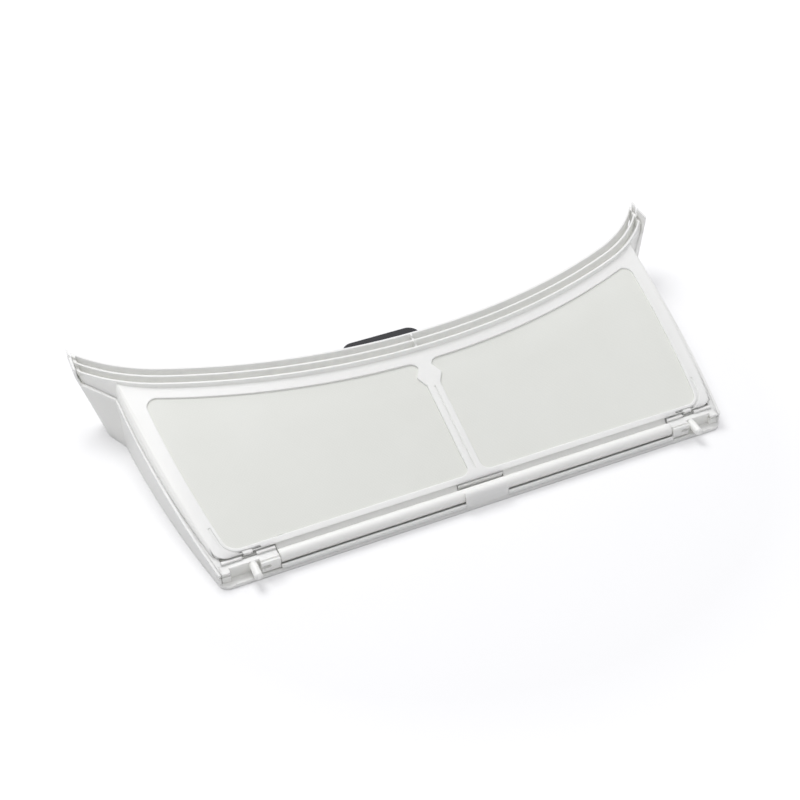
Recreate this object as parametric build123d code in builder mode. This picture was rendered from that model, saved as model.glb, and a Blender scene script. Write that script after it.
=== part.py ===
from build123d import *
from math import asin, cos, radians, sin, sqrt
import os

# Lint filter of a tumble dryer: two moulded halves that open like a book on the hinge bar
# Millimetres. It lies on its rear face: +Z out of the front screen, +Y from the hinge bar to the collar
# All lengths along Y below are measured from the hinge axis

# Place of the hinge axis
hinge_y = -83.2
hinge_z = 7.5

# Collar: a long arc whose two ends flare
collar_y = 97.0
collar_radius = 416.0
flare_start = 160.0
flare_radius = 109.0
flare_ease = 0.5
flare_turn = 42.0
collar_lean = 0.18
collar_width = 11.5
end_x = 193.2
end_slope = 0.279
end_top_x = 205.4
sill_z = 8.0
sill_x = 188.0
collar_wall = 2.0

# Grooved rim of the front half
rim_z = 45.0
rim_rise = 3.0
rib_t = 1.4
rib_count = 3
channel_depth = 5.0
end_wall_t = 2.0
rim_core_z = 38.0
rim_core_x = 172.0

# End strips of the rear half, outside the rim
strip_t = 1.4
strip_front = 5.0
strip_back = 9.3
strip_rise = 4.8
strip_slope = 0.055
strip_y = 156.0
rim_end_gap = 0.9

# Cheeks that join the side walls to the collar's ends: inner and outer corner, at the floor and at the top
cheek_foot_inner = (185.4, 129.5)
cheek_foot_outer = (195.6, 149.6)
cheek_top_inner = (184.0, 137.1)
cheek_top_outer = (209.6, 161.7)
cheek_top_z = 51.0
cheek_depth = 12.0
cheek_edge = (186.5, 130.5)
cheek_edge_normal = (0.858, -0.503, -0.106)
rim_cheek_low_z = 30.0
rim_cheek_inner = (184.2, 142.3)
rim_cheek_outer = (207.0, 164.2)
rim_cheek_z = 44.4

# Parting plane between the halves
parting_z = 10.0
parting_slope = 0.18
parting_gap = 0.3

# Front screen frame
frame_y = 5.0
frame_z = 13.0
frame_top_z = 43.3
frame_top_inset = 3.0
frame_foot_step = 1.8
frame_head_step = 3.4
frame_t = 2.1
mesh_t = 0.7
mesh_depth = 1.1

# Front windows
window_y = 9.2
window_bottom_x = 157.0
window_top_x = 171.8
window_bow = 2.2
window_band = 7.5
window_corner = 5.5
window_foot_corner = 9.0
mullion_w = 9.0
boss_y = 79.0
boss_radius = 8.4
boss_sides = 6
groove_w = 0.9
groove_depth = 0.5
groove_end_y = 12.0
corner_lip = 1.8
corner_groove_w = 1.4
corner_groove_reach = 18.0

# Side walls and the rounded skirts above them
side_y = -6.2
side_bottom_x = 166.6
side_middle_x = 180.4
side_middle_y = 70.0
side_top_x = 186.4
side_top_y = 137.0
side_wall = 2.0
floor_t = 2.2
skirt_inset = 1.0
skirt_root = 1.5
skirt_facets = 4

# Rear windows
rear_window_margin = 11.0
rear_window_y = 14.0
rear_window_band = 9.0
rear_mullion_w = 11.0
rear_window_bow = 3.0
rear_mesh_z = 0.8

# Hinge rail, its stub pins and its brackets
rail_radius = 4.0
rail_half = 130.6
pin_radius = 2.0
pin_length = 9.0
pin_gap = 0.06
pin_end_gap = 0.5
bracket_x = 131.2
bracket_w = 11.4
bracket_top_z = 10.6
bracket_front_y = -4.9
bracket_back_y = 3.4
bracket_step = 1.0
bracket_rib_t = 1.0
bracket_rib_h = 0.8
bracket_rib_step = 2.4
bracket_slot_w = 5.4
bracket_slot_h = 2.4
bracket_slot_depth = 2.0
bracket_slot_x = 139.6
seat_front_y = 0.0
web_inset = 1.8
web_t = 2.2
web_root = 0.4
stub_x = 147.2
stub_w = 5.6
stub_drop = 2.0

# Bar lip, the trough behind it, its middle clip and its corner pads
lip_t = 1.6
lip_gap = 0.5
lip_z = 2.8
trough_z = 1.0
clip_half = 14.0
clip_gap = 0.4
clip_t = 1.5
clip_angle = 118.0
notch_gap = 1.5
corner_x = 160.5
corner_front_y = -2.2
corner_round = 6.0
frame_round = 9.4
corner_slot_h = 1.5
corner_slot_z = 7.2
corner_slot_depth = 3.0

# Locating pegs
peg_x = 146.4
peg_radius = 2.5
peg_root_y = 1.0
peg_tip_y = -11.4
peg_z = 8.0
peg_bevel = 1.2

# Air mouth
cheek_x = 183.0

# Handle
handle_w = 56.0
handle_tip_y = 163.4
handle_z = 0.5
handle_t = 4.2
handle_corner = 8.0
handle_bead = 6.0
handle_bead_rise = 1.0
handle_tongue_w = 40.0
handle_tongue = 6.0
handle_slot = 4.0
handle_fit = 0.15

# Outer edge of the screen frame, at its foot and at its head
frame_bottom_x = side_bottom_x - frame_foot_step
frame_top_x = side_top_x - frame_head_step

# Room that trimming shapes take beyond the part
beyond = 300.0
half_turn = 180.0


def level(z):
    """Plane parallel to the floor, with its origin above the hinge axis."""
    return Plane(origin=(0, hinge_y, z))


def section(x):
    """Upright plane across the hinge axis: its x runs along Y and its y upwards."""
    return Plane(origin=(x, hinge_y, 0), x_dir=(0, 1, 0), z_dir=(1, 0, 0))


def parting(gap=0.0):
    """The sloping plane on which the two halves meet."""
    return Plane(
        origin=(0, hinge_y, parting_z + gap), x_dir=(1, 0, 0), z_dir=(0, -parting_slope, 1)
    )


def end_plane(side, inset=0.0):
    """Sloping end of the collar on one side, moved inwards by an inset."""
    return Plane(
        origin=(side * (end_x - inset), hinge_y, 0), x_dir=(0, 1, 0), z_dir=(side, 0, -end_slope)
    )


def trim_sides(x):
    """Cut away what stands outside an upright plane on each side."""
    for side in (-1, 1):
        upright = Plane(origin=(side * x, 0, 0), x_dir=(0, 1, 0), z_dir=(side, 0, 0))
        split(bisect_by=upright, keep=Keep.BOTTOM)


def trim_ends(inset):
    """Cut the collar off at both of its ends, which slope outwards and then stand upright."""
    for side in (-1, 1):
        split(bisect_by=end_plane(side, inset), keep=Keep.BOTTOM)
    trim_sides(end_top_x - inset)


def slope_top(y, z, slope):
    """Cut away what stands above a plane that rises towards the collar."""
    top = Plane(origin=(0, hinge_y + y, z), x_dir=(1, 0, 0), z_dir=(0, -slope, 1))
    split(bisect_by=top, keep=Keep.BOTTOM)


# The collar's plan is a long arc that runs into a tighter arc at each end
collar_half = asin(flare_start / collar_radius)
collar_centre_y = collar_y + collar_radius


def lean(z):
    """How far back the collar's front face stands at a height, against its place at the rim."""
    return (z - rim_z) * collar_lean


def collar_point(depth, turn):
    """Point of the plan curve that lies a depth behind the front face, by the angle it has turned."""
    side = -1 if turn < 0 else 1
    main = min(abs(turn), collar_half)
    flare = flare_radius + flare_ease * depth
    x = (collar_radius - depth) * sin(main) + flare * (sin(abs(turn)) - sin(main))
    y = collar_centre_y - (collar_radius - depth) * cos(main) + flare * (cos(main) - cos(abs(turn)))
    return (side * x, y)


def collar_band(front, back, low, high, mode=Mode.ADD):
    """Leaning band along the whole collar, between two depths behind its front face."""
    end_turn = collar_half + radians(flare_turn)
    flare_middle = (collar_half + end_turn) / 2
    stops = (-end_turn, -flare_middle, -collar_half, 0, collar_half, flare_middle, end_turn)
    with BuildSketch(level(low)) as band:
        with BuildLine():
            for depth in (front, back):
                points = [Vector(*collar_point(depth, turn)) + (0, lean(low)) for turn in stops]
                for first in range(0, len(stops) - 1, 2):
                    ThreePointArc(*points[first : first + 3])
            for turn in (-end_turn, end_turn):
                ends = [Vector(*collar_point(depth, turn)) + (0, lean(low)) for depth in (front, back)]
                Line(*ends)
        make_face()
    extrude(
        band.sketch,
        amount=(high - low) * sqrt(1 + collar_lean**2),
        dir=(0, collar_lean, 1),
        mode=mode,
    )


def cheek_loft(foot, foot_z, top, top_z):
    """Cheek between a foot line and a top line, each an inner and an outer corner."""
    ends = []
    for (inner, outer), z in ((foot, foot_z), (top, top_z)):
        with BuildSketch(level(z)) as end:
            with BuildLine():
                Polyline(
                    inner,
                    outer,
                    (outer[0], outer[1] + cheek_depth),
                    (inner[0] - side_wall, inner[1] + cheek_depth),
                    (inner[0] - side_wall, inner[1]),
                    close=True,
                )
            make_face()
        ends.append(end.sketch.face())
    loft(sections=ends, ruled=True)


def arc_y(x, band):
    """Y of the arc that runs a band's width in front of the collar."""
    return collar_centre_y - sqrt((collar_radius + band) ** 2 - x**2)


def window_sketch(bottom_y, bottom_x, top_x, band, bar_w, bow):
    """Right-hand window: straight foot, bowed outer side, top edge parallel to the collar."""
    inner_x = bar_w / 2
    middle_x = (inner_x + top_x) / 2
    with BuildSketch() as outline:
        with BuildLine():
            foot = Line((inner_x, bottom_y), (bottom_x, bottom_y))
            top_y = arc_y(top_x, band)
            bow_x = (bottom_x + top_x) / 2 + bow
            outer = ThreePointArc(foot @ 1, (bow_x, (bottom_y + top_y) / 2), (top_x, top_y))
            top = ThreePointArc(
                outer @ 1, (middle_x, arc_y(middle_x, band)), (inner_x, arc_y(inner_x, band))
            )
            Line(top @ 1, foot @ 0)
        make_face()
        corners = outline.vertices().sort_by_distance((bottom_x, bottom_y))
        fillet(corners[1:], window_corner)
        fillet(outline.vertices().sort_by_distance((bottom_x, bottom_y))[0], window_foot_corner)
    return outline.sketch


with BuildSketch() as front_window:
    add(window_sketch(window_y, window_bottom_x, window_top_x, window_band, mullion_w, window_bow))
    with Locations((0, boss_y)):
        RegularPolygon(boss_radius, boss_sides, mode=Mode.SUBTRACT)

rear_collar_y = lean(0)
tray_mouth_y = collar_y + rear_collar_y + collar_width / 2
rear_top_x = side_top_x - rear_window_margin
rear_window = window_sketch(
    rear_window_y,
    side_bottom_x - rear_window_margin,
    rear_top_x,
    rear_window_band - rear_collar_y,
    rear_mullion_w,
    rear_window_bow,
)

# The screen is ruled between the straight foot of its frame and the arc under the rim
screen_run = collar_y + frame_top_inset - frame_y
screen_sine = (frame_top_z - frame_z) / sqrt(screen_run**2 + (frame_top_z - frame_z) ** 2)


def screen_loft(depth, thickness):
    """Sheet that lies a depth under the screen's outer face."""
    shift = depth / screen_sine
    width = thickness / screen_sine
    with BuildSketch(level(frame_z)) as foot:
        with Locations((0, frame_y + shift + width / 2)):
            Rectangle(2 * frame_bottom_x, width)
    with BuildSketch(level(frame_top_z)) as head:
        with BuildLine():
            front_y = arc_y(frame_top_x, -frame_top_inset) + shift
            middle_y = arc_y(0, -frame_top_inset) + shift
            front = ThreePointArc((-frame_top_x, front_y), (0, middle_y), (frame_top_x, front_y))
            end = Line(front @ 1, (frame_top_x, front_y + width))
            back = ThreePointArc(end @ 1, (0, middle_y + width), (-frame_top_x, front_y + width))
            Line(back @ 1, front @ 0)
        make_face()
    loft(sections=[foot.sketch.face(), head.sketch.face()], ruled=True)


def tray_sketch(inset, foot_y, mouth_y):
    """Plan of the rear half: straight bar, bowed sides, closed towards the collar at mouth_y."""
    with BuildSketch() as plan:
        with BuildLine():
            foot = Line((-side_bottom_x + inset, foot_y), (side_bottom_x - inset, foot_y))
            right = ThreePointArc(
                foot @ 1, (side_middle_x - inset, side_middle_y), (side_top_x - inset, side_top_y)
            )
            left = ThreePointArc(
                foot @ 0, (-side_middle_x + inset, side_middle_y), (-side_top_x + inset, side_top_y)
            )
            ThreePointArc(right @ 1, (0, mouth_y), left @ 1)
        make_face()
        fillet(plan.vertices().group_by(Axis.Y)[0], corner_round - inset)
    return plan.sketch


# Space above the parting plane that the front half's rim fills
with BuildPart() as rim_room:
    with BuildSketch(parting()):
        Rectangle(2 * beyond, 2 * beyond)
    extrude(amount=beyond)
    trim_ends(strip_t)

# Ends of the rear half's collar, with the thin strips that stand outside the rim
with BuildPart() as cheek:
    cheek_loft((cheek_foot_inner, cheek_foot_outer), 0, (cheek_top_inner, cheek_top_outer), cheek_top_z)

with BuildPart() as cheeks:
    collar_band(strip_front, strip_back, 0, cheek_top_z + 2 * rim_rise)
    with BuildSketch(level(0)):
        Rectangle(2 * cheek_x, 2 * beyond)
    extrude(amount=beyond, mode=Mode.SUBTRACT)
    add(cheek.part)
    mirror(cheek.part, about=Plane.YZ)
    trim_ends(0)
    for side in (-1, 1):
        normal_x, normal_y, normal_z = cheek_edge_normal
        bevel = Plane(
            origin=(side * cheek_edge[0], hinge_y + cheek_edge[1], 0),
            x_dir=(0, normal_z, -normal_y),
            z_dir=(side * normal_x, normal_y, normal_z),
        )
        split(bisect_by=bevel, keep=Keep.BOTTOM)
    slope_top(strip_y, rim_z + strip_rise, strip_slope)
    add(rim_room.part, mode=Mode.SUBTRACT)

# Hollow that the mould leaves under the collar
with BuildPart() as sill_core:
    collar_band(collar_wall, collar_width - collar_wall, -collar_wall, sill_z - collar_wall)
    trim_ends(strip_t + collar_wall)

# Block at the right-hand end of the bar: hinge bracket, seat of the peg and corner pad
lip_back_y = -rail_radius - lip_gap
lip_front_y = lip_back_y - lip_t
with BuildPart() as bar_end:
    with BuildSketch(section(bracket_x)):
        with BuildLine():
            Polyline(
                (bracket_front_y + bracket_step, floor_t / 2),
                (bracket_front_y + bracket_step, lip_z + bracket_step),
                (bracket_front_y, lip_z + bracket_step),
                (bracket_front_y, bracket_top_z),
                (bracket_back_y, bracket_top_z),
                (bracket_back_y, floor_t / 2),
                close=True,
            )
        make_face()
    extrude(amount=bracket_w)
    with BuildSketch(section(bracket_x + bracket_w)):
        with Locations((seat_front_y, floor_t / 2)):
            Rectangle(bracket_back_y - seat_front_y, bracket_top_z - floor_t / 2, align=Align.MIN)
    extrude(amount=corner_x - bracket_x - bracket_w)
    with BuildSketch(level(bracket_top_z)):
        for rib_y in (bracket_front_y, bracket_front_y + bracket_rib_step):
            with Locations((bracket_x, rib_y)):
                Rectangle(bracket_w, bracket_rib_t, align=Align.MIN)
    extrude(amount=bracket_rib_h)
    with BuildSketch(Plane.XZ.offset(-hinge_y - bracket_front_y)):
        with Locations((bracket_slot_x, hinge_z)):
            SlotOverall(bracket_slot_w, bracket_slot_h)
    extrude(amount=-bracket_slot_depth, mode=Mode.SUBTRACT)
    with BuildSketch(section(bracket_x)):
        with Locations((0, hinge_z)):
            Circle(pin_radius + pin_gap)
    extrude(amount=pin_length + pin_end_gap, mode=Mode.SUBTRACT)
    with BuildSketch(section(corner_x)):
        with BuildLine():
            Polyline(
                (corner_front_y, floor_t / 2),
                (corner_front_y, parting_z + parting_slope * corner_front_y),
                (bracket_back_y, parting_z + parting_slope * bracket_back_y),
                (bracket_back_y, floor_t / 2),
                close=True,
            )
        make_face()
    extrude(amount=side_bottom_x - side_wall / 2 - corner_x)

with BuildPart() as corner_slot:
    with BuildSketch(Plane.XZ.offset(-hinge_y - corner_front_y)):
        with Locations((corner_x, corner_slot_z)):
            Rectangle(2 * (side_bottom_x - corner_x), corner_slot_h, align=(Align.MIN, Align.CENTER))
    extrude(amount=-corner_slot_depth)

with BuildPart() as peg:
    with BuildSketch(Plane.XZ.offset(-hinge_y - peg_root_y)):
        with Locations((peg_x, peg_z)):
            Circle(peg_radius)
    extrude(amount=peg_root_y - peg_tip_y)
    chamfer(peg.edges().filter_by(GeomType.CIRCLE).sort_by(Axis.Y)[0], peg_bevel)

# Rear half: tray, collar sill, cheeks, air mouth and bar
with BuildPart() as rear_half:
    with BuildSketch(level(0)):
        add(tray_sketch(0, side_y, tray_mouth_y))
    extrude(amount=rim_z)
    with BuildSketch(level(floor_t)):
        add(tray_sketch(side_wall, side_y - side_wall, tray_mouth_y))
        with Locations((0, side_top_y + beyond / 2 - side_wall)):
            Rectangle(2 * (side_top_x - side_wall), beyond)
        with Locations((0, bracket_back_y)):
            Rectangle(2 * (side_bottom_x - side_wall), beyond, align=(Align.CENTER, Align.MAX))
        with Locations((0, corner_front_y)):
            Rectangle(2 * beyond, beyond, align=(Align.CENTER, Align.MAX))
    extrude(amount=beyond, mode=Mode.SUBTRACT)
    with BuildSketch(level(trough_z)):
        with Locations((0, lip_back_y)):
            Rectangle(2 * bracket_x, bracket_back_y - lip_back_y, align=(Align.CENTER, Align.MIN))
    extrude(amount=floor_t - trough_z, mode=Mode.SUBTRACT)
    split(bisect_by=parting(), keep=Keep.BOTTOM)
    collar_band(0, collar_width, 0, sill_z)
    trim_sides(sill_x)
    add(cheeks.part)
    add(sill_core.part, mode=Mode.SUBTRACT)
    lip_half = side_bottom_x - corner_round - side_wall
    with BuildSketch(section(-lip_half)):
        with BuildLine():
            Polyline(
                (lip_front_y, floor_t / 2),
                (lip_front_y, lip_z),
                (lip_back_y, lip_z),
                (lip_back_y, floor_t / 2),
                close=True,
            )
        make_face()
    extrude(amount=2 * lip_half)
    with BuildSketch(section(-clip_half)):
        with BuildLine():
            inner_radius = rail_radius + clip_gap
            inner = CenterArc((0, hinge_z), inner_radius, clip_angle, half_turn - clip_angle)
            outer = CenterArc((0, hinge_z), inner_radius + clip_t, clip_angle, half_turn - clip_angle)
            Line(inner @ 0, outer @ 0)
            Polyline(
                inner @ 1,
                (lip_back_y, lip_z - lip_t),
                (lip_front_y, lip_z - lip_t),
                outer @ 1,
            )
        make_face()
    extrude(amount=2 * clip_half)
    add(bar_end.part)
    mirror(bar_end.part, about=Plane.YZ)
    add(corner_slot.part, mode=Mode.SUBTRACT)
    mirror(corner_slot.part, about=Plane.YZ, mode=Mode.SUBTRACT)
    add(peg.part)
    mirror(peg.part, about=Plane.YZ)
    with BuildSketch(level(0)):
        add(rear_window)
        mirror(rear_window, about=Plane.YZ)
    extrude(amount=floor_t, mode=Mode.SUBTRACT)
    with BuildSketch(level(handle_z - handle_fit)):
        with Locations((0, collar_y + rear_collar_y + collar_width)):
            Rectangle(handle_tongue_w + 2 * handle_fit, 2 * handle_slot)
    extrude(amount=handle_t + 2 * handle_fit, mode=Mode.SUBTRACT)

# Channels between the ribs of the rim, closed at their ends and at the middle
channel_w = (collar_width - rib_count * rib_t) / (rib_count - 1)
channel_z = rim_z - channel_depth
rib_fronts = [rib * (rib_t + channel_w) for rib in range(rib_count)]
with BuildPart() as rim_channels:
    for rib_front in rib_fronts[:-1]:
        collar_band(rib_front + rib_t, rib_front + rib_t + channel_w, channel_z, rim_z + 2 * rim_rise)
    trim_ends(strip_t + rim_end_gap + end_wall_t)
    with BuildSketch(level(0)):
        Rectangle(rib_t, 2 * beyond)
    extrude(amount=beyond, mode=Mode.SUBTRACT)

with BuildPart() as rim_core:
    collar_band(collar_wall, collar_width - collar_wall, sill_z, rim_core_z)
    with BuildSketch(level(0)):
        Rectangle(2 * rim_core_x, 2 * beyond)
    extrude(amount=beyond, mode=Mode.INTERSECT)

# Top of the rim, stepped up from its front rib to its rear rib
with BuildPart() as rim_top:
    collar_band(0, collar_width, channel_z, rim_z + rim_rise)
    for step, rib_front in enumerate(rib_fronts[:-1]):
        collar_band(
            rib_front - rib_t,
            rib_front + rib_t + channel_w / 2,
            rim_z + step * rim_rise / 2,
            rim_z + 2 * rim_rise,
            mode=Mode.SUBTRACT,
        )

# Part of the rim's front wall that leans over the cheek, on the right-hand side
with BuildPart() as rim_cheek:
    share = rim_cheek_low_z / cheek_top_z
    rim_foot = [
        tuple(low + share * (high - low) for low, high in zip(foot, top))
        for foot, top in ((cheek_foot_inner, cheek_top_inner), (cheek_foot_outer, cheek_top_outer))
    ]
    cheek_loft(rim_foot, rim_cheek_low_z, (rim_cheek_inner, rim_cheek_outer), rim_cheek_z)

# Rounded skirt from the screen frame down to the side wall, on the right-hand side
with BuildPart() as skirt:
    skirt_sections = []
    frame_back_y = arc_y(frame_top_x, -frame_top_inset)
    side_stations = (
        (frame_y, side_bottom_x),
        ((frame_y + frame_back_y) / 2, side_middle_x),
        (frame_back_y, side_top_x),
    )
    for station_y, side_x in side_stations:
        share = (station_y - frame_y) / (frame_back_y - frame_y)
        edge_x = frame_bottom_x + share * (frame_top_x - frame_bottom_x)
        edge_z = frame_z + share * (frame_top_z - frame_z)
        foot_z = parting_z + parting_slope * station_y + parting_gap
        bend_x = side_x - skirt_inset - edge_x
        turns = [half_turn / 2 * facet / skirt_facets for facet in range(skirt_facets + 1)]
        bend = [
            (edge_x + bend_x * sin(radians(turn)), foot_z + (edge_z - foot_z) * cos(radians(turn)))
            for turn in turns
        ]
        with BuildSketch(Plane.XZ.offset(-hinge_y - station_y)) as skirt_section:
            with BuildLine():
                root_x = edge_x - skirt_root
                Polyline((root_x, edge_z), *bend, (root_x, foot_z), close=True)
            make_face()
        skirt_sections.append(skirt_section.sketch.face())
    loft(sections=skirt_sections)

# Web between the rail and the frame's foot, with the stub beside the bracket, on the right-hand side
with BuildPart() as hinge_web:
    with BuildSketch(section(clip_half + notch_gap)):
        with BuildLine():
            Polyline(
                (frame_y + web_inset, frame_z + web_root),
                (frame_y + web_inset + web_t, frame_z + web_root),
                (rail_radius, hinge_z),
                (rail_radius - web_t, hinge_z),
                close=True,
            )
        make_face()
    extrude(amount=rail_half - clip_half - notch_gap)
    with BuildSketch(section(stub_x - stub_w / 2)):
        with BuildLine():
            Polyline(
                (frame_y + web_root / screen_sine, frame_z + web_root),
                (frame_y + web_t, frame_z + web_root),
                (frame_y + web_t, frame_z - stub_drop),
                (frame_y, frame_z - stub_drop),
                (frame_y, frame_z),
                close=True,
            )
        make_face()
    extrude(amount=stub_w)

# Shallow grooves: along the mullion below its boss, and round the lower outer corner of each window
with BuildSketch() as corner_groove:
    offset(front_window.sketch, amount=corner_lip + corner_groove_w)
    offset(front_window.sketch, amount=corner_lip, mode=Mode.SUBTRACT)
    with Locations((window_bottom_x, window_y)):
        Rectangle(2 * corner_groove_reach, 2 * corner_groove_reach, mode=Mode.INTERSECT)

with BuildPart() as frame_grooves:
    screen_loft(-groove_depth, 2 * groove_depth)
    with BuildSketch(level(0)):
        with Locations((0, groove_end_y)):
            Rectangle(
                groove_w, boss_y - boss_radius - groove_end_y, align=(Align.CENTER, Align.MIN)
            )
        add(corner_groove.sketch)
        mirror(corner_groove.sketch, about=Plane.YZ)
    extrude(amount=beyond, mode=Mode.INTERSECT)

# Front half: grooved rim, screen frame with its windows, skirts and hinge rail
with BuildPart() as front_half:
    collar_band(0, collar_width, sill_z, channel_z)
    add(rim_top.part)
    add(rim_cheek.part)
    mirror(rim_cheek.part, about=Plane.YZ)
    split(bisect_by=parting(parting_gap), keep=Keep.TOP)
    trim_ends(strip_t + rim_end_gap)
    add(rim_core.part, mode=Mode.SUBTRACT)
    screen_loft(0, frame_t)
    add(skirt.part)
    mirror(skirt.part, about=Plane.YZ)
    add(rim_channels.part, mode=Mode.SUBTRACT)
    with BuildSketch(level(0)):
        round_x = side_bottom_x - frame_round
        with Locations((-round_x, frame_y + frame_round), (round_x, frame_y + frame_round)):
            Rectangle(2 * frame_round, 2 * frame_round)
        with Locations((0, frame_y)):
            Rectangle(2 * round_x, 2 * frame_round, align=(Align.CENTER, Align.MIN), mode=Mode.SUBTRACT)
        with Locations((0, frame_y + frame_round)):
            Rectangle(2 * side_top_x, 2 * frame_round, align=(Align.CENTER, Align.MIN), mode=Mode.SUBTRACT)
        with Locations((-round_x, frame_y + frame_round), (round_x, frame_y + frame_round)):
            Circle(frame_round, mode=Mode.SUBTRACT)
    extrude(amount=frame_top_z, mode=Mode.SUBTRACT)
    with BuildSketch(level(0)):
        add(front_window.sketch)
        mirror(front_window.sketch, about=Plane.YZ)
    extrude(amount=beyond, mode=Mode.SUBTRACT)
    with BuildSketch(section(-rail_half)):
        with Locations((0, hinge_z)):
            Circle(rail_radius)
    extrude(amount=2 * rail_half)
    with BuildSketch(section(-rail_half - pin_length)):
        with Locations((0, hinge_z)):
            Circle(pin_radius)
    extrude(amount=2 * (rail_half + pin_length))
    add(hinge_web.part)
    mirror(hinge_web.part, about=Plane.YZ)
    add(frame_grooves.part, mode=Mode.SUBTRACT)

with BuildPart() as front_mesh_right:
    screen_loft(mesh_depth, mesh_t)
    with BuildSketch(level(0)):
        add(front_window.sketch)
    extrude(amount=beyond, mode=Mode.INTERSECT)

with BuildPart() as front_mesh_left:
    mirror(front_mesh_right.part, about=Plane.YZ)

with BuildPart() as rear_mesh_right:
    with BuildSketch(level(rear_mesh_z)):
        add(rear_window)
    extrude(amount=mesh_t)

with BuildPart() as rear_mesh_left:
    mirror(rear_mesh_right.part, about=Plane.YZ)

# Pull tab, with a tongue in the slot of the collar sill and a bead along its tip
with BuildPart() as handle:
    handle_root_y = arc_y(handle_w / 2, -collar_width) + lean(handle_z + handle_t) + handle_fit
    with BuildSketch(level(handle_z)):
        with Locations((0, handle_tip_y)):
            RectangleRounded(
                handle_w,
                2 * (handle_tip_y - handle_root_y),
                handle_corner,
                align=(Align.CENTER, Align.MAX),
            )
        with Locations((0, handle_root_y)):
            Rectangle(
                2 * handle_w,
                2 * (handle_tip_y - handle_root_y),
                align=(Align.CENTER, Align.MAX),
                mode=Mode.SUBTRACT,
            )
        with Locations((0, handle_root_y)):
            Rectangle(handle_tongue_w, 2 * handle_tongue)
    extrude(amount=handle_t)
    with BuildSketch(level(handle_z + handle_t)):
        with Locations((0, handle_tip_y - handle_bead)):
            Rectangle(handle_w - 2 * handle_corner, handle_bead)
    extrude(amount=handle_bead_rise)

pieces = {
    "rear_half": rear_half,
    "front_half": front_half,
    "front_mesh_left": front_mesh_left,
    "front_mesh_right": front_mesh_right,
    "rear_mesh_left": rear_mesh_left,
    "rear_mesh_right": rear_mesh_right,
    "handle": handle,
}
os.makedirs("parts", exist_ok=True)
for name, piece in pieces.items():
    piece.part.label = name
    export_step(piece.part, f"parts/{name}.step")
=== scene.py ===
from math import cos, hypot, pi, radians, sin

import bmesh
import bpy
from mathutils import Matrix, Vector, noise
from mathutils.kdtree import KDTree


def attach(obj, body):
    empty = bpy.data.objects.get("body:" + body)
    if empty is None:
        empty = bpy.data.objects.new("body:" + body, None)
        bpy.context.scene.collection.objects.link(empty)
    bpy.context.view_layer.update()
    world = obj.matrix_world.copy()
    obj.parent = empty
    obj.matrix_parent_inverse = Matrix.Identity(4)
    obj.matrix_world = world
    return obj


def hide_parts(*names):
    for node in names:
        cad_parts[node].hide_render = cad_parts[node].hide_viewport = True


# Lint filter of a tumble dryer, lying on its rear face. Lengths in metres, in the part's own frame
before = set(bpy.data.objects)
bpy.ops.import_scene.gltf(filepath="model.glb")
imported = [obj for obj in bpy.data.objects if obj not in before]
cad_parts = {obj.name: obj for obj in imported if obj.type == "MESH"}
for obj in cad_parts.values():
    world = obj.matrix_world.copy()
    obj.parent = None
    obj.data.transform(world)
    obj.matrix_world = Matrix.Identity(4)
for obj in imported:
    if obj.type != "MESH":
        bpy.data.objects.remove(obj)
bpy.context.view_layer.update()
MM = 0.001

# Camera of the photograph: seen from the front left and above
CAMERA_TARGET = Vector((-8.045, 23.281, -5.0)) * MM
CAMERA_AZIMUTH = radians(-23.791)
CAMERA_ELEVATION = radians(42.204)
CAMERA_DISTANCE = 867.671 * MM
CAMERA_LENS = 58.97
CAMERA_SENSOR = 36.0
CAMERA_NEAREST = 10 * MM

# Light: a wide soft lamp overhead, a little behind, under a sky that darkens to the horizon
SKY_COLOUR = "#f7f7fb"
SKY_ZENITH = 0.9
SKY_HORIZON = 0.32
KEY_PLACE = Vector((-0.2, 0.75, 1.35))
KEY_SIZE = 0.8
KEY_POWER = 11.5
FLOOR_GLOW = 0.2
FLOOR_GLOW_REACH = (0.22, 0.9)  # where the glow starts to grow, and where it is full
FLOOR_HALF = 6.0

# Screens: each sheet's surface, its thickness, its slack and its weave
SCREEN_STEP = 6 * MM
SCREEN_CUTS = 4  # rounds of cuts that bring a sheet's edges under the step
SCREEN_THICKNESS = 0.25 * MM
SCREEN_SLACK = 0.25 * MM
SCREEN_SLACK_WIDTH = 70 * MM
SCREEN_FACING = 0.6  # least outward share of the normals of the faces that a sheet is made from
SCREEN_SHARP = 0.6  # angle in radians from which an edge is sharp
SCREEN_MERGE = 0.01 * MM
THREAD_PITCH = 0.5 * MM

# Straight ledges of the rear half at the bar, in mm: spans along the bar, then away from the hinge and up
HINGE_Y = -83.2
BRACKET_X = (131.3, 163.6)
STOP_X = ((131.3, 142.6), (151.4, 163.6))  # these leave room for a tab of the front half
CLIP_X = (-15.0, 15.0)
LIP_X = (14.05, 130.9)
SHELF = ((4.8, 11.6), (8.8, 10.0))
BRACKET_STOP = ((3.3, 5.2), (8.0, 12.1))
CLIP_WALL = ((4.5, 5.4), (2.0, 12.3))
LIP_RISE = ((-6.05, -4.55), (2.75, 5.7))

# Ledges inside the side walls, under the parting plane of the two halves, in mm
SIDE_WALL = ((166.6, -6.2), (180.4, 70.0), (186.4, 137.0))  # three points of a wall's outer face
LEDGE_Y = (-1.5, 126.0)  # away from the hinge axis
LEDGE_STEPS = 40
LEDGE_INSET = 1.8
LEDGE_WIDTH = 4.0
LEDGE_THICKNESS = 1.2
PARTING_Z = 9.9
PARTING_SLOPE = 0.18


def linear(colour):
    """sRGB hex colour as linear red, green, blue and alpha."""
    parts = [int(colour[at : at + 2], 16) / 255 for at in (1, 3, 5)]
    return [c / 12.92 if c <= 0.04045 else ((c + 0.055) / 1.055) ** 2.4 for c in parts] + [1.0]


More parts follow.
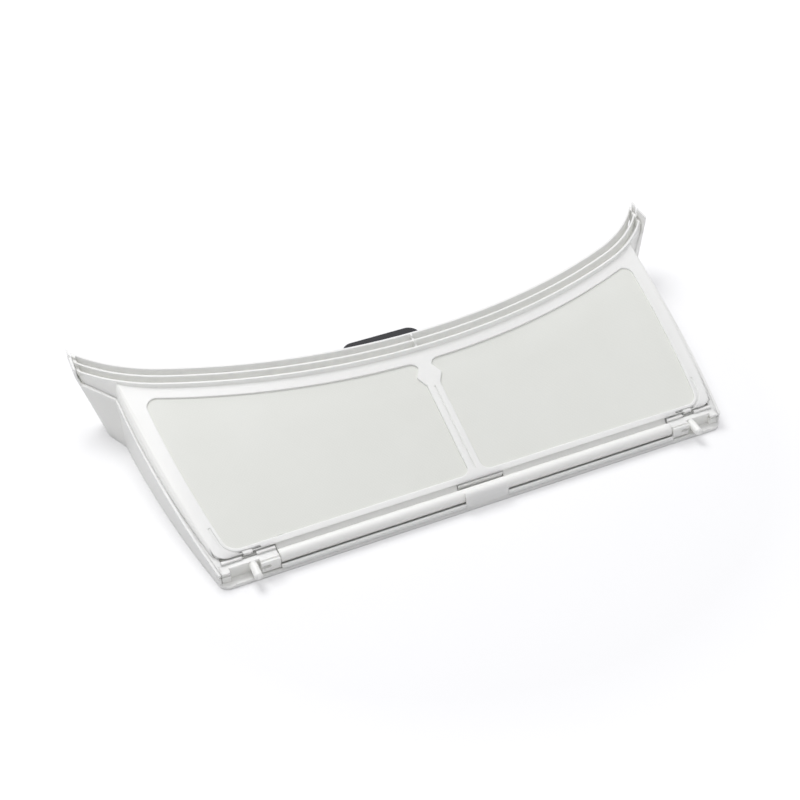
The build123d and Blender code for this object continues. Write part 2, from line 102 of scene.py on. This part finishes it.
def add(tree, kind, links=None, values=None, **settings):
    """Add a node: settings are its properties, values its sockets' values, links what feeds its sockets."""
    made = tree.nodes.new(kind)
    for name, value in settings.items():
        setattr(made, name, value)
    for socket, value in (values or {}).items():
        made.inputs[socket].default_value = value
    for socket, source in (links or {}).items():
        tree.links.new(source, made.inputs[socket])
    return made


def new_material(name):
    """Empty material, with its tree and the shader that is joined to its output."""
    made = bpy.data.materials.new(name)
    made.use_nodes = True
    tree = made.node_tree
    return made, tree, tree.nodes["Principled BSDF"]


def moulded_polypropylene():
    """White moulded polypropylene: satin, faintly warm, with a fine spark-eroded grain and soft edges."""
    made, tree, shader = new_material("moulded_polypropylene")
    place = add(tree, "ShaderNodeTexCoord").outputs["Object"]
    cloud = add(tree, "ShaderNodeTexNoise", {"Vector": place}, {"Scale": 1 / (60 * MM), "Detail": 2.0})
    tint = add(tree, "ShaderNodeValToRGB", {"Fac": cloud.outputs["Fac"]})
    tint.color_ramp.elements[0].color = linear("#f1f1ed")
    tint.color_ramp.elements[1].color = linear("#f6f6f2")
    # Grain of about 0.4 mm, drawn as coarse as it needs to show
    grain = add(tree, "ShaderNodeTexNoise", {"Vector": place}, {"Scale": 1 / (0.8 * MM), "Detail": 3.0})
    gloss = add(
        tree, "ShaderNodeMapRange", {"Value": grain.outputs["Fac"]}, {"To Min": 0.36, "To Max": 0.5}
    )
    edge = add(tree, "ShaderNodeBevel", values={"Radius": 0.5 * MM}, samples=6)
    bump = add(
        tree,
        "ShaderNodeBump",
        {"Height": grain.outputs["Fac"], "Normal": edge.outputs["Normal"]},
        {"Strength": 0.06, "Distance": 0.1 * MM},
    )
    shader.inputs["IOR"].default_value = 1.49
    # Light passes a little way into this plastic, which lifts its grooves
    shader.inputs["Subsurface Weight"].default_value = 0.65
    shader.inputs["Subsurface Radius"].default_value = (1.0, 1.0, 1.0)
    shader.inputs["Subsurface Scale"].default_value = 3.0 * MM
    tree.links.new(tint.outputs["Color"], shader.inputs["Base Color"])
    tree.links.new(gloss.outputs["Result"], shader.inputs["Roughness"])
    tree.links.new(bump.outputs["Normal"], shader.inputs["Normal"])
    return made


def moulded_abs():
    """Charcoal ABS of the pull tab: fine leather-like mould grain, low sheen."""
    made, tree, shader = new_material("moulded_abs")
    place = add(tree, "ShaderNodeTexCoord").outputs["Object"]
    grain = add(tree, "ShaderNodeTexVoronoi", {"Vector": place}, {"Scale": 1 / (0.7 * MM)})
    cloud = add(tree, "ShaderNodeTexNoise", {"Vector": place}, {"Scale": 1 / (15 * MM), "Detail": 3.0})
    tint = add(tree, "ShaderNodeValToRGB", {"Fac": cloud.outputs["Fac"]})
    tint.color_ramp.elements[0].color = linear("#17171b")
    tint.color_ramp.elements[1].color = linear("#212127")
    edge = add(tree, "ShaderNodeBevel", values={"Radius": 0.6 * MM}, samples=6)
    bump = add(
        tree,
        "ShaderNodeBump",
        {"Height": grain.outputs["Distance"], "Normal": edge.outputs["Normal"]},
        {"Strength": 0.2, "Distance": 0.1 * MM},
    )
    shader.inputs["Roughness"].default_value = 0.55
    shader.inputs["IOR"].default_value = 1.53
    shader.inputs["Specular IOR Level"].default_value = 0.35
    tree.links.new(tint.outputs["Color"], shader.inputs["Base Color"])
    tree.links.new(bump.outputs["Normal"], shader.inputs["Normal"])
    return made


def woven_polyester():
    """Plain weave of fine white polyester monofilament: matt, a little see-through between its threads."""
    made, tree, shader = new_material("woven_polyester")
    place = add(tree, "ShaderNodeTexCoord").outputs["Object"]
    # Threads lie about 0.25 mm apart on the real screen, and are drawn coarser so that they show
    turns = add(
        tree, "ShaderNodeVectorMath", {0: place}, {1: [pi / THREAD_PITCH] * 3}, operation="MULTIPLY"
    )
    apart = add(tree, "ShaderNodeSeparateXYZ", {"Vector": turns.outputs["Vector"]})
    warp = add(tree, "ShaderNodeMath", {0: apart.outputs["X"]}, operation="SINE")
    weft = add(tree, "ShaderNodeMath", {0: apart.outputs["Y"]}, operation="SINE")
    cross = add(tree, "ShaderNodeMath", {0: warp.outputs[0], 1: weft.outputs[0]}, operation="MULTIPLY")
    cover = add(
        tree,
        "ShaderNodeMapRange",
        {"Value": cross.outputs[0]},
        {"From Min": -1.0, "From Max": 1.0, "To Min": 0.8, "To Max": 0.96},
    )
    cloud = add(tree, "ShaderNodeTexNoise", {"Vector": place}, {"Scale": 1 / (45 * MM), "Detail": 2.0})
    tint = add(tree, "ShaderNodeValToRGB", {"Fac": cloud.outputs["Fac"]})
    tint.color_ramp.elements[0].color = linear("#ebece5")
    tint.color_ramp.elements[1].color = linear("#f1f2ec")
    bump = add(
        tree, "ShaderNodeBump", {"Height": cross.outputs[0]}, {"Strength": 0.25, "Distance": 0.1 * MM}
    )
    shader.inputs["Roughness"].default_value = 0.7
    shader.inputs["IOR"].default_value = 1.57
    shader.inputs["Specular IOR Level"].default_value = 0.3
    tree.links.new(tint.outputs["Color"], shader.inputs["Base Color"])
    tree.links.new(cover.outputs["Result"], shader.inputs["Alpha"])
    tree.links.new(bump.outputs["Normal"], shader.inputs["Normal"])
    return made


def seen_directly(tree):
    """One for what the camera or a reflection sees, nought for light on its way to other surfaces."""
    path = add(tree, "ShaderNodeLightPath").outputs
    rays = {0: path["Is Camera Ray"], 1: path["Is Glossy Ray"]}
    return add(tree, "ShaderNodeMath", rays, operation="MAXIMUM").outputs[0]


def studio_floor():
    """White sweep: it takes the object's shadow, and a glow that only the camera sees lifts it to white."""
    made, tree, shader = new_material("studio_floor")
    place = add(tree, "ShaderNodeTexCoord").outputs["Object"]
    away = add(tree, "ShaderNodeVectorMath", {0: place}, operation="LENGTH").outputs["Value"]
    lift = add(
        tree,
        "ShaderNodeMapRange",
        {"Value": away},
        {
            "From Min": FLOOR_GLOW_REACH[0],
            "From Max": FLOOR_GLOW_REACH[1],
            "To Min": FLOOR_GLOW,
            "To Max": 1.0,
        },
    )
    lifted = {0: seen_directly(tree), 1: lift.outputs["Result"]}
    glow = add(tree, "ShaderNodeMath", lifted, operation="MULTIPLY")
    shader.inputs["Base Color"].default_value = linear("#e6e6e6")
    shader.inputs["Roughness"].default_value = 1.0
    shader.inputs["Specular IOR Level"].default_value = 0.0
    shader.inputs["Emission Color"].default_value = linear("#ffffff")
    tree.links.new(glow.outputs[0], shader.inputs["Emission Strength"])
    return made


def woven_screen(name, body, side, finish):
    """Fine sheet laid into a window, with the outline of the window's solid and a little slack."""
    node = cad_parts[name]
    sheet = bmesh.new()
    sheet.from_mesh(node.data)
    under = [face for face in sheet.faces if face.normal.z * side < SCREEN_FACING]
    bmesh.ops.delete(sheet, geom=under, context="FACES")
    bmesh.ops.remove_doubles(sheet, verts=sheet.verts, dist=SCREEN_MERGE)
    area = sum(face.calc_area() for face in sheet.faces)
    for _ in range(SCREEN_CUTS):
        long_edges = [edge for edge in sheet.edges if edge.calc_length() > SCREEN_STEP]
        bmesh.ops.subdivide_edges(sheet, edges=long_edges, cuts=1)
        bmesh.ops.triangulate(sheet, faces=sheet.faces)
    rim = [vert.co.copy() for vert in sheet.verts if vert.is_boundary]
    near = KDTree(len(rim))
    for at, co in enumerate(rim):
        near.insert(co, at)
    near.balance()
    for vert in sheet.verts:
        inside = min(near.find(vert.co)[2] / SCREEN_SLACK_WIDTH, 1.0)
        wave = noise.noise(vert.co / SCREEN_SLACK_WIDTH)
        vert.co.z -= side * SCREEN_SLACK * inside * (1.0 + wave)
    bmesh.ops.solidify(sheet, geom=sheet.faces, thickness=SCREEN_THICKNESS)
    for face in sheet.faces:
        face.smooth = True
    for edge in sheet.edges:
        edge.smooth = edge.calc_face_angle(0.0) < SCREEN_SHARP
    made = bpy.data.meshes.new(name + "_screen")
    sheet.to_mesh(made)
    sheet.free()
    made.materials.append(finish)
    piece = bpy.data.objects.new(name + "_screen", made)
    bpy.context.scene.collection.objects.link(piece)
    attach(piece, body)
    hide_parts(name)


def bowed_side(y):
    """X of a side wall's outer face, in millimetres, at a distance from the hinge axis."""
    total = 0.0
    for at, (x, _) in enumerate(SIDE_WALL):
        share = 1.0
        for other, (_, other_y) in enumerate(SIDE_WALL):
            if other != at:
                share *= (y - other_y) / (SIDE_WALL[at][1] - other_y)
        total += x * share
    return total


def seat_ledges(finish):
    """Thin trim of the rear half under the front half: it closes the bar and the gaps at the side walls."""
    ledges = bmesh.new()
    boxes = [(CLIP_X, *SHELF), (CLIP_X, *CLIP_WALL)]
    both_sides = [(BRACKET_X, *SHELF), *((span, *BRACKET_STOP) for span in STOP_X), (LIP_X, *LIP_RISE)]
    for (low, high), *across in both_sides:
        boxes += [((low, high), *across), ((-high, -low), *across)]
    for spans in boxes:
        made = bmesh.ops.create_cube(ledges, size=1.0)["verts"]
        middle = Vector([sum(span) / 2 for span in spans]) + Vector((0, HINGE_Y, 0))
        bmesh.ops.scale(ledges, vec=Vector([high - low for low, high in spans]) * MM, verts=made)
        bmesh.ops.translate(ledges, vec=middle * MM, verts=made)
    for side in (-1, 1):
        rings = []
        for step in range(LEDGE_STEPS + 1):
            y = LEDGE_Y[0] + (LEDGE_Y[1] - LEDGE_Y[0]) * step / LEDGE_STEPS
            outer = bowed_side(y) - LEDGE_INSET
            top = PARTING_Z + PARTING_SLOPE * y
            corners = (
                (outer, top),
                (outer - LEDGE_WIDTH, top),
                (outer - LEDGE_WIDTH, top - LEDGE_THICKNESS),
                (outer, top - LEDGE_THICKNESS),
            )
            places = [(side * x * MM, (HINGE_Y + y) * MM, z * MM) for x, z in corners]
            rings.append([ledges.verts.new(place) for place in places])
        for ring, following in zip(rings, rings[1:]):
            for at in range(len(ring)):
                ledges.faces.new((ring[at], ring[at - 1], following[at - 1], following[at]))
        ledges.faces.new(rings[0])
        ledges.faces.new(rings[-1])
    bmesh.ops.recalc_face_normals(ledges, faces=ledges.faces)
    mesh = bpy.data.meshes.new("seat_ledges")
    ledges.to_mesh(mesh)
    ledges.free()
    mesh.materials.append(finish)
    piece = bpy.data.objects.new("seat_ledges", mesh)
    bpy.context.scene.collection.objects.link(piece)
    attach(piece, "rear")


def light(name, place, size, power, target):
    """Soft square lamp that faces a point."""
    lamp = bpy.data.lights.new(name, "AREA")
    lamp.size = size
    lamp.energy = power
    made = bpy.data.objects.new(name, lamp)
    made.location = place
    made.rotation_mode = "QUATERNION"
    made.rotation_quaternion = (target - place).to_track_quat("-Z", "Y")
    bpy.context.scene.collection.objects.link(made)


def make_studio():
    """Camera, lamp, sky and floor."""
    scene = bpy.context.scene
    back = Vector(
        (
            sin(CAMERA_AZIMUTH) * cos(CAMERA_ELEVATION),
            -cos(CAMERA_AZIMUTH) * cos(CAMERA_ELEVATION),
            sin(CAMERA_ELEVATION),
        )
    )
    lens = bpy.data.cameras.new("camera")
    lens.lens = CAMERA_LENS
    lens.sensor_width = CAMERA_SENSOR
    lens.clip_start = CAMERA_NEAREST
    camera = bpy.data.objects.new("camera", lens)
    camera.location = CAMERA_TARGET + back * CAMERA_DISTANCE
    camera.rotation_mode = "QUATERNION"
    camera.rotation_quaternion = (-back).to_track_quat("-Z", "Y")
    scene.collection.objects.link(camera)
    scene.camera = camera

    light("key", KEY_PLACE, KEY_SIZE, KEY_POWER, CAMERA_TARGET)

    scene.world = bpy.data.worlds.new("sky")
    scene.world.use_nodes = True
    sky = scene.world.node_tree
    seen = seen_directly(sky)
    up = add(sky, "ShaderNodeSeparateXYZ", {0: add(sky, "ShaderNodeTexCoord").outputs["Generated"]})
    levels = {"To Min": SKY_HORIZON, "To Max": SKY_ZENITH}
    dome = add(sky, "ShaderNodeMapRange", {"Value": up.outputs["Z"]}, levels)
    strength = add(
        sky,
        "ShaderNodeMapRange",
        {"Value": seen, "To Min": dome.outputs["Result"]},
        {"To Max": 1.0},
    )
    tint = add(sky, "ShaderNodeMix", {"Factor": seen}, data_type="RGBA")
    tint.inputs["A"].default_value = linear(SKY_COLOUR)
    tint.inputs["B"].default_value = linear("#ffffff")
    sky.links.new(tint.outputs["Result"], sky.nodes["Background"].inputs["Color"])
    sky.links.new(strength.outputs["Result"], sky.nodes["Background"].inputs["Strength"])

    half = FLOOR_HALF
    floor_mesh = bpy.data.meshes.new("floor")
    floor_mesh.from_pydata(
        [(-half, -half, 0), (half, -half, 0), (half, half, 0), (-half, half, 0)], [], [(0, 1, 2, 3)]
    )
    floor_mesh.materials.append(studio_floor())
    floor = bpy.data.objects.new("floor", floor_mesh)
    scene.collection.objects.link(floor)
    scene.view_settings.view_transform = "Standard"


shell = moulded_polypropylene()
tab = moulded_abs()
weave = woven_polyester()
for name, finish in (("rear_half", shell), ("front_half", shell), ("handle", tab)):
    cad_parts[name].data.materials.clear()
    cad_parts[name].data.materials.append(finish)
seat_ledges(shell)
for hand in ("left", "right"):
    woven_screen(f"front_mesh_{hand}", "front", 1, weave)
    woven_screen(f"rear_mesh_{hand}", "rear", -1, weave)

make_studio()
